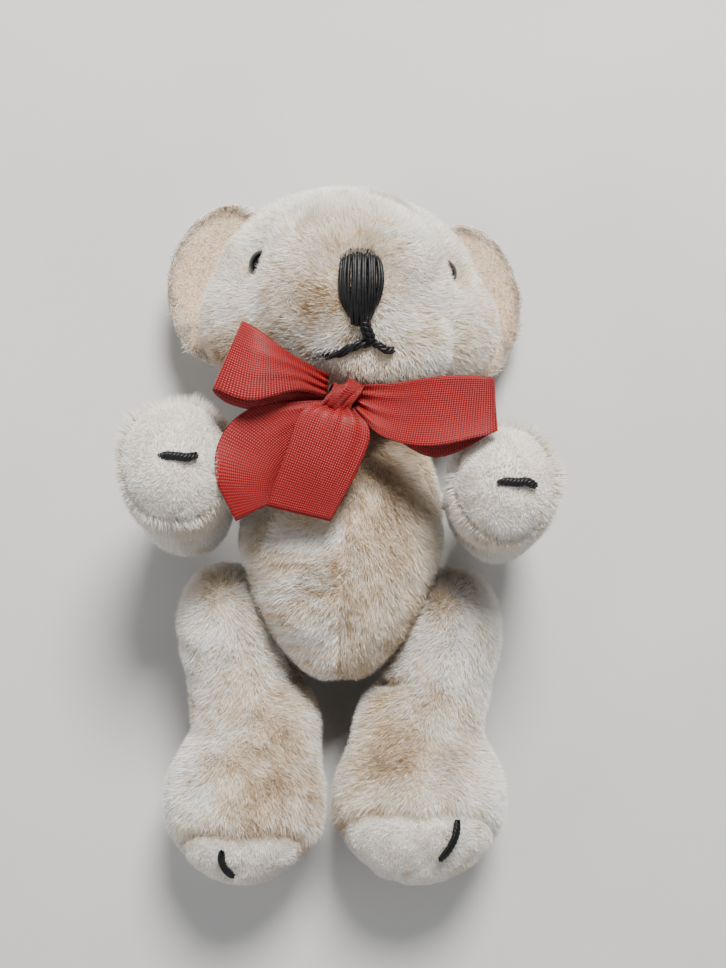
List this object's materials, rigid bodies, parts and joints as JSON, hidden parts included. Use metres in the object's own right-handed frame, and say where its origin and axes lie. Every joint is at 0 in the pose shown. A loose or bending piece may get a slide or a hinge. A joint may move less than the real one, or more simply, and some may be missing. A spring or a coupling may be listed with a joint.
{
  "type": "plush bear keychain",
  "caption": "Small disc-jointed plush bear with swivelling head, hinged arms and legs, a ribbon bow and a split ring on a tab behind the neck.",
  "frame": {"origin": "on the floor under the middle of the bear's bounding box, the bear lying on its back", "axes": "+Y toward the head, +Z out of the belly, +X to the viewer's right when facing the belly"},
  "size_m": [0.057, 0.0969, 0.0399],
  "materials": {
    "cream_plush": "short silky pile",
    "ear_lining": "smooth napped lining",
    "pad_knit": "very short knit pile",
    "white_stuffing": "loose fibre",
    "black_thread": "glossy floss",
    "eye_bead": "polished",
    "joint_plastic": "moulded",
    "red_ribbon": "sheer woven taffeta",
    "woven_tape": "woven tape",
    "ring_steel": "nickel plated"
  },
  "bodies": {
    "torso": {"torso_cover_left": "cream_plush", "torso_cover_right": "cream_plush", "torso_stuffing": "white_stuffing", "neck_washer": "joint_plastic", "shoulder_washer_left": "joint_plastic", "shoulder_washer_right": "joint_plastic", "hip_washer_left": "joint_plastic", "hip_washer_right": "joint_plastic", "ribbon_collar": "red_ribbon", "bow_knot": "red_ribbon", "bow_loop_left": "red_ribbon", "bow_loop_right": "red_ribbon", "bow_tail_left": "red_ribbon", "bow_tail_centre": "red_ribbon"},
    "head": {"head_gusset": "cream_plush", "head_side_left": "cream_plush", "head_side_right": "cream_plush", "head_stuffing": "white_stuffing", "ear_back_left": "cream_plush", "ear_back_right": "cream_plush", "ear_lining_left": "ear_lining", "ear_lining_right": "ear_lining", "eye_left": "eye_bead", "eye_right": "eye_bead", "eye_washer_left": "joint_plastic", "eye_washer_right": "joint_plastic", "nose_stitching": "black_thread", "mouth_stitching": "black_thread", "neck_disc": "joint_plastic", "neck_nut": "joint_plastic", "hanging_tab": "woven_tape"},
    "ring": {"split_ring": "ring_steel"},
    "arm_left": {"arm_cover_left": "cream_plush", "paw_pad_left": "pad_knit", "arm_stuffing_left": "white_stuffing", "paw_claw_left": "black_thread", "shoulder_disc_left": "joint_plastic", "shoulder_nut_left": "joint_plastic"},
    "leg_left": {"leg_cover_left": "cream_plush", "sole_pad_left": "pad_knit", "leg_stuffing_left": "white_stuffing", "foot_claw_left": "black_thread", "hip_disc_left": "joint_plastic", "hip_nut_left": "joint_plastic"},
    "arm_right": {"arm_cover_right": "cream_plush", "paw_pad_right": "pad_knit", "arm_stuffing_right": "white_stuffing", "paw_claw_right": "black_thread", "shoulder_disc_right": "joint_plastic", "shoulder_nut_right": "joint_plastic"},
    "leg_right": {"leg_cover_right": "cream_plush", "sole_pad_right": "pad_knit", "leg_stuffing_right": "white_stuffing", "foot_claw_right": "black_thread", "hip_disc_right": "joint_plastic", "hip_nut_right": "joint_plastic"}
  },
  "joints": [
    {"name": "head_swivel", "type": "hinge", "parent": "torso", "child": "head", "pos_m": [0, 0.0205, 0.0145], "axis": [0, 1, 0], "range_deg": [-20, 20]},
    {"name": "arm_left_raise", "type": "hinge", "parent": "torso", "child": "arm_left", "pos_m": [-0.0145, 0.0064, 0.015], "axis": [-1, 0, 0], "range_deg": [-42, 4]},
    {"name": "arm_right_raise", "type": "hinge", "parent": "torso", "child": "arm_right", "pos_m": [0.0145, 0.0064, 0.015], "axis": [-1, 0, 0], "range_deg": [-36, 4]},
    {"name": "leg_left_raise", "type": "hinge", "parent": "torso", "child": "leg_left", "pos_m": [-0.0112, -0.0112, 0.0125], "axis": [-1, 0, 0], "range_deg": [-5, 85]},
    {"name": "leg_right_raise", "type": "hinge", "parent": "torso", "child": "leg_right", "pos_m": [0.0112, -0.0112, 0.0125], "axis": [-1, 0, 0], "range_deg": [-5, 85]},
    {"name": "ring_swing", "type": "hinge", "parent": "head", "child": "ring", "pos_m": [0, 0.0246, 0.0019], "axis": [1, 0, 0], "range_deg": [0, 150]}
  ]
}
